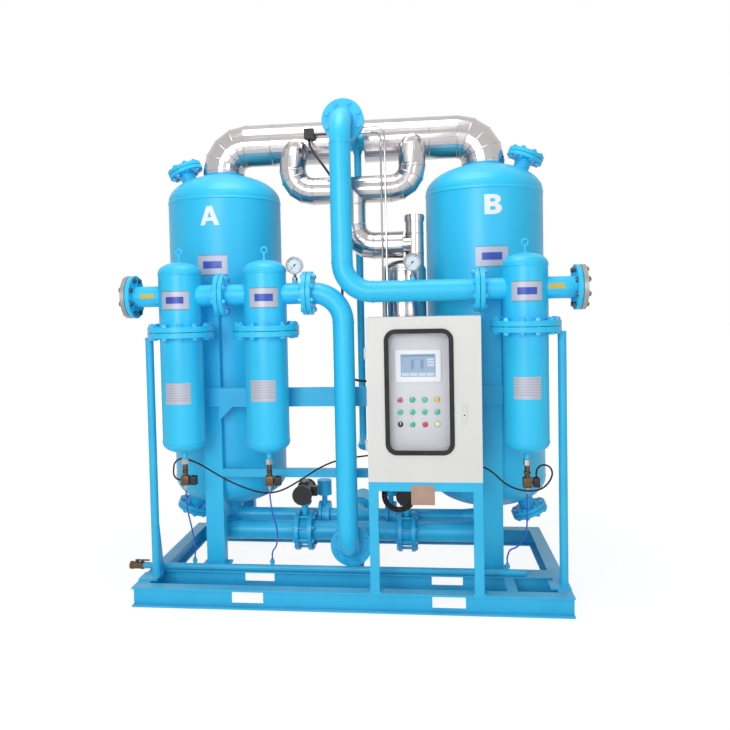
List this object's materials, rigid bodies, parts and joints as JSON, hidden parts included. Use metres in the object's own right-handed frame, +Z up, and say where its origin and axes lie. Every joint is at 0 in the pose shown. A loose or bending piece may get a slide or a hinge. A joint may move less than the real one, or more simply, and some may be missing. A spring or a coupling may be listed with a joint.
{
  "type": "desiccant air dryer",
  "caption": "Skid-mounted desiccant compressed-air dryer: blue adsorber towers, flanged line filters, clad purge piping with heater, and a windowed control cabinet.",
  "frame": {"origin": "on the ground, under the middle of the skid frame", "axes": "+Z up, +X from the inlet flange towards the outlet flange, -Y is the side with the filters and the cabinet door"},
  "size_m": [2.411, 1.144, 2.59],
  "materials": {
    "sky_blue_paint": "gloss enamel over welded steel",
    "machine_steel": "turned, lightly oiled",
    "stainless_cladding": "rolled sheet, fine brushed",
    "stainless_tube": "drawn tube",
    "cabinet_grey": "fine textured powder coat",
    "dark_fasteners": "blackened and oiled",
    "brass": "dull cast and turned",
    "black_plastic": "moulded, satin",
    "rubber_black": "matt",
    "fibre_gasket": "matt sheet",
    "window_acrylic": "clear",
    "screen_bezel": "satin moulded",
    "lamp_lens": "translucent",
    "button_green": "moulded",
    "button_red": "moulded",
    "latch_chrome": "satin plated",
    "gauge_steel": "polished",
    "bead_desiccant": "loose beads",
    "filter_medium": "pleated",
    "tube_blue": "translucent polyurethane",
    "needle_black": "matt"
  },
  "bodies": {
    "frame": {"skid_frame": "sky_blue_paint", "tie_beams": "sky_blue_paint", "filter_posts": "sky_blue_paint", "tower_a_vessel": "sky_blue_paint", "tower_b_vessel": "sky_blue_paint", "desiccant_beds": "bead_desiccant", "handhole_covers": "sky_blue_paint", "filter_1_head": "sky_blue_paint", "filter_2_head": "sky_blue_paint", "filter_3_head": "sky_blue_paint", "filter_1_bowl": "sky_blue_paint", "filter_2_bowl": "sky_blue_paint", "filter_3_bowl": "sky_blue_paint", "filter_elements": "filter_medium", "drain_valves": "brass", "counter_flanges": "machine_steel", "feed_pipe": "sky_blue_paint", "delivery_pipe": "sky_blue_paint", "inlet_tee": "sky_blue_paint", "inlet_spool_a": "sky_blue_paint", "inlet_spool_b": "sky_blue_paint", "inlet_valve_bodies": "sky_blue_paint", "valve_actuators": "black_plastic", "exhaust_manifold": "sky_blue_paint", "outlet_tee": "sky_blue_paint", "clad_pipe_a": "stainless_cladding", "clad_pipe_b": "stainless_cladding", "regen_loop": "stainless_cladding", "heater_vessel": "stainless_cladding", "purge_pipe": "sky_blue_paint", "drain_header": "sky_blue_paint", "header_valve": "brass", "cabinet_box": "cabinet_grey", "inner_panel": "cabinet_grey", "touch_screen": "screen_bezel", "pilot_lamps": "lamp_lens", "cabinet_stand": "sky_blue_paint", "gauge_cases": "gauge_steel", "flange_bolts": "dark_fasteners", "gaskets": "fibre_gasket", "dew_sensor": "black_plastic", "impulse_tubes": "stainless_tube", "drain_cable_left": "rubber_black", "drain_cable_right": "rubber_black", "drain_tube_1": "tube_blue", "drain_tube_2": "tube_blue", "drain_tube_3": "tube_blue", "spare_cable_coil": "rubber_black"},
    "door": {"cabinet_door": "cabinet_grey", "window_gasket": "rubber_black", "window_pane": "window_acrylic"},
    "latch": {"door_latch": "latch_chrome"},
    "selector": {"selector_knob": "black_plastic"},
    "start": {"start_button": "button_green"},
    "stop": {"stop_button": "button_red"},
    "valve_a": {"inlet_valve_a_disc": "machine_steel"},
    "valve_b": {"inlet_valve_b_disc": "machine_steel"},
    "drain_lever": {"header_valve_lever": "black_plastic"},
    "feed_needle": {"feed_gauge_needle": "needle_black"},
    "delivery_needle": {"delivery_gauge_needle": "needle_black"}
  },
  "joints": [
    {"name": "cabinet_door_hinge", "type": "hinge", "parent": "frame", "child": "door", "pos_m": [0.1167, -0.54185, 1.052], "axis": [0, 0, -1], "range_deg": [0, 110]},
    {"name": "door_latch_turn", "type": "hinge", "parent": "door", "child": "latch", "pos_m": [0.589, -0.562, 0.955], "axis": [0, 1, 0], "range_deg": [0, 90]},
    {"name": "selector_turn", "type": "hinge", "parent": "frame", "child": "selector", "pos_m": [0.282, -0.4997, 0.925], "axis": [0, -1, 0], "range_deg": [-45, 45]},
    {"name": "start_press", "type": "slide", "parent": "frame", "child": "start", "axis": [0, 1, 0], "range_m": [0, 0.004], "stiffness_N_per_m": 600},
    {"name": "stop_press", "type": "slide", "parent": "frame", "child": "stop", "axis": [0, 1, 0], "range_m": [0, 0.004], "stiffness_N_per_m": 600},
    {"name": "valve_a_turn", "type": "hinge", "parent": "frame", "child": "valve_a", "pos_m": [-0.29, 0.005, 0.235], "axis": [0, 0, 1], "range_deg": [0, 90]},
    {"name": "valve_b_turn", "type": "hinge", "parent": "frame", "child": "valve_b", "pos_m": [0.29, 0.005, 0.235], "axis": [0, 0, 1], "range_deg": [0, 90]},
    {"name": "drain_lever_turn", "type": "hinge", "parent": "frame", "child": "drain_lever", "pos_m": [-1.178, -0.285, 0.145], "axis": [0, 0, -1], "range_deg": [0, 90]},
    {"name": "feed_gauge_turn", "type": "hinge", "parent": "frame", "child": "feed_needle", "pos_m": [-0.242, -0.422, 1.721], "axis": [0, 1, 0], "range_deg": [0, 270]},
    {"name": "delivery_gauge_turn", "type": "hinge", "parent": "frame", "child": "delivery_needle", "pos_m": [0.352, -0.422, 1.721], "axis": [0, 1, 0], "range_deg": [0, 270]}
  ]
}
